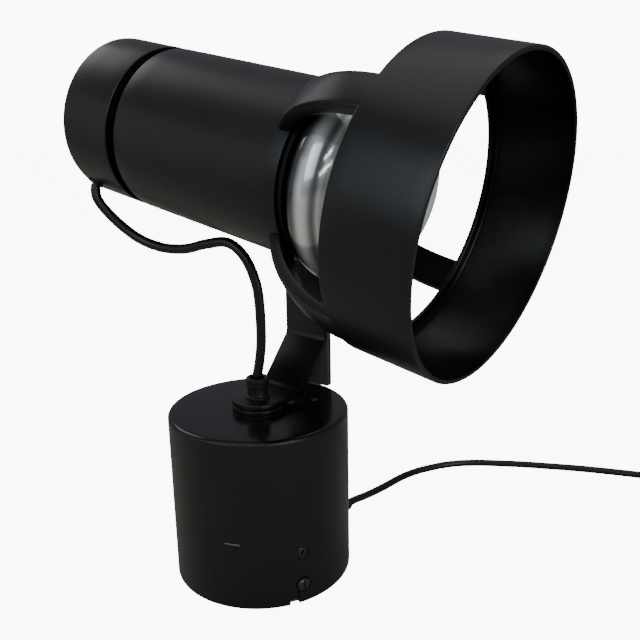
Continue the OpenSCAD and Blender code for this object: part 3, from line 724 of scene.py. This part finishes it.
bulb_o = [(-7, 13), (4, 14.5), (14, 17), (26, 20.5), (38, 24.5), (48, 28.8), (54, 32.6), (58, 36), (61, 39.6), (64, 43.2), (67, 45.8), (70.5, 47.2),
          (75, 47.5), (79.6, 46.5), (85, 43.4), (90.6, 38), (96.2, 29.8), (100.6, 20), (103, 10), (103.7, 0)]
smooth_bulb = [tuple(p) for p in catmull(bulb_o, 5)]
prof = [(0, -7)] + [(max(r, 0.0), z) for z, r in smooth_bulb[:-1]] + [(0, 103.7)]
bulb = lathe("bulb_envelope", prof, H, 160, sharp=60)
bulb.data.materials.append(M["bulb_silver"])
bulb.data.materials.append(M["bulb_frost"])
Hi = H.inverted()
for p in bulb.data.polygons:
    p.material_index = 1 if (Hi @ p.center).z > 86 else 0
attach(bulb, "head")
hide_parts("bulb_glass")

ps = lathe("tilt_screw", [(0, 34.5, 0), (3, 34.5, 0.4), (3, 49.1, 0), (6, 49.1, 0.3), (6, 52.7, 0.9), (0, 52.7, 0)], PIV, 56)
carve(ps, [drill(2.5, 50.6, 55, PIV, 6)], 0.15, 2)
dress(ps, "head", "screw_steel", "pivot_screw")

# ---------------------------------------------------------------- floor and light
floor_mesh = bpy.data.meshes.new("floor")
floor_mesh.from_pydata([(-6, -6, 0), (6, -6, 0), (6, 6, 0), (-6, 6, 0)], [], [(0, 1, 2, 3)])
floor = bpy.data.objects.new("floor", floor_mesh)
scene.collection.objects.link(floor)
fm, ft, fb = nodes_of("floor")
seen = ft.nodes.new("ShaderNodeLightPath").outputs["Is Camera Ray"]
pale = tones(ft, noise(ft, coords(ft), 3, 3), [(0.2, (0.90, 0.90, 0.895)), (0.8, (0.93, 0.93, 0.925))])
ft.links.new(mixed(ft, seen, (0.54, 0.49, 0.42), pale), fb.inputs["Base Color"])
fb.inputs["Roughness"].default_value = 0.8
fb.inputs["Emission Color"].default_value = (1, 1, 1, 1)
ft.links.new(calc(ft, "MULTIPLY", seen, 9.5), fb.inputs["Emission Strength"])
floor.data.materials.append(fm)

w = bpy.data.worlds.new("world")
w.use_nodes = True
wt = w.node_tree
bg = wt.nodes["Background"]
to_eye = wt.nodes.new("ShaderNodeLightPath").outputs["Is Camera Ray"]
wt.links.new(mixed(wt, to_eye, (0.185, 0.195, 0.215), (10.2, 10.2, 10.2)), bg.inputs[0])
bg.inputs[1].default_value = 1.0
scene.world = w


def softbox(name, pos, aim, size, power, col=(1, 1, 1)):
    d = bpy.data.lights.new(name, "AREA")
    d.shape, d.size, d.size_y, d.energy, d.color = "RECTANGLE", size[0], size[1], power, col
    o = bpy.data.objects.new(name, d)
    scene.collection.objects.link(o)
    o.location = pos
    o.rotation_euler = (Vector(aim) - Vector(pos)).to_track_quat("-Z", "Y").to_euler()
    return o


softbox("overhead", (0.1, 0.1, 1.5), (0.03, 0, 0.1), (1.6, 1.6), 5.1, (0.96, 0.98, 1.0))
softbox("window", (-0.15, -1.3, 0.8), (0.05, 0, 0.2), (0.8, 0.9), 3.7, (0.82, 0.92, 1.0))
softbox("front_right", (1.35, -0.35, 0.55), (0.08, 0, 0.2), (0.7, 0.9), 6.0, (0.82, 0.92, 1.0))
softbox("back_left", (-1.05, 0.1, 1.0), (0.03, 0, 0.24), (0.6, 0.6), 2.0, (0.95, 0.98, 1.0))

softbox("left_wall", (-0.80, -0.80, 0.35), (0, 0, 0.2), (0.7, 0.8), 0.6, (0.95, 0.98, 1.0))


def strip_light(name, a, b, aim, width, power):
    """A thin bright source, such as a window's edge: its image is a streak on the bulb."""
    a, b = Vector(a), Vector(b)
    mid_point = (a + b) / 2
    d = bpy.data.lights.new(name, "AREA")
    d.shape, d.size, d.size_y, d.energy = "RECTANGLE", width, (b - a).length, power
    o = bpy.data.objects.new(name, d)
    scene.collection.objects.link(o)
    y = (b - a).normalized()
    z = mid_point - Vector(aim)
    z = (z - y * z.dot(y)).normalized()
    x = y.cross(z)
    o.matrix_world = Matrix.Translation(mid_point) @ Matrix((x, y, z)).transposed().to_4x4()
    return o


strip_light("window_edge_1", (0.418, -0.812, 0.565), (0.538, -0.679, 0.685), (0.08, -0.04, 0.22), 0.018, 0.26)
strip_light("window_edge_2", (0.369, -0.893, 0.334), (0.639, -0.709, 0.478), (0.08, -0.04, 0.22), 0.018, 0.42)
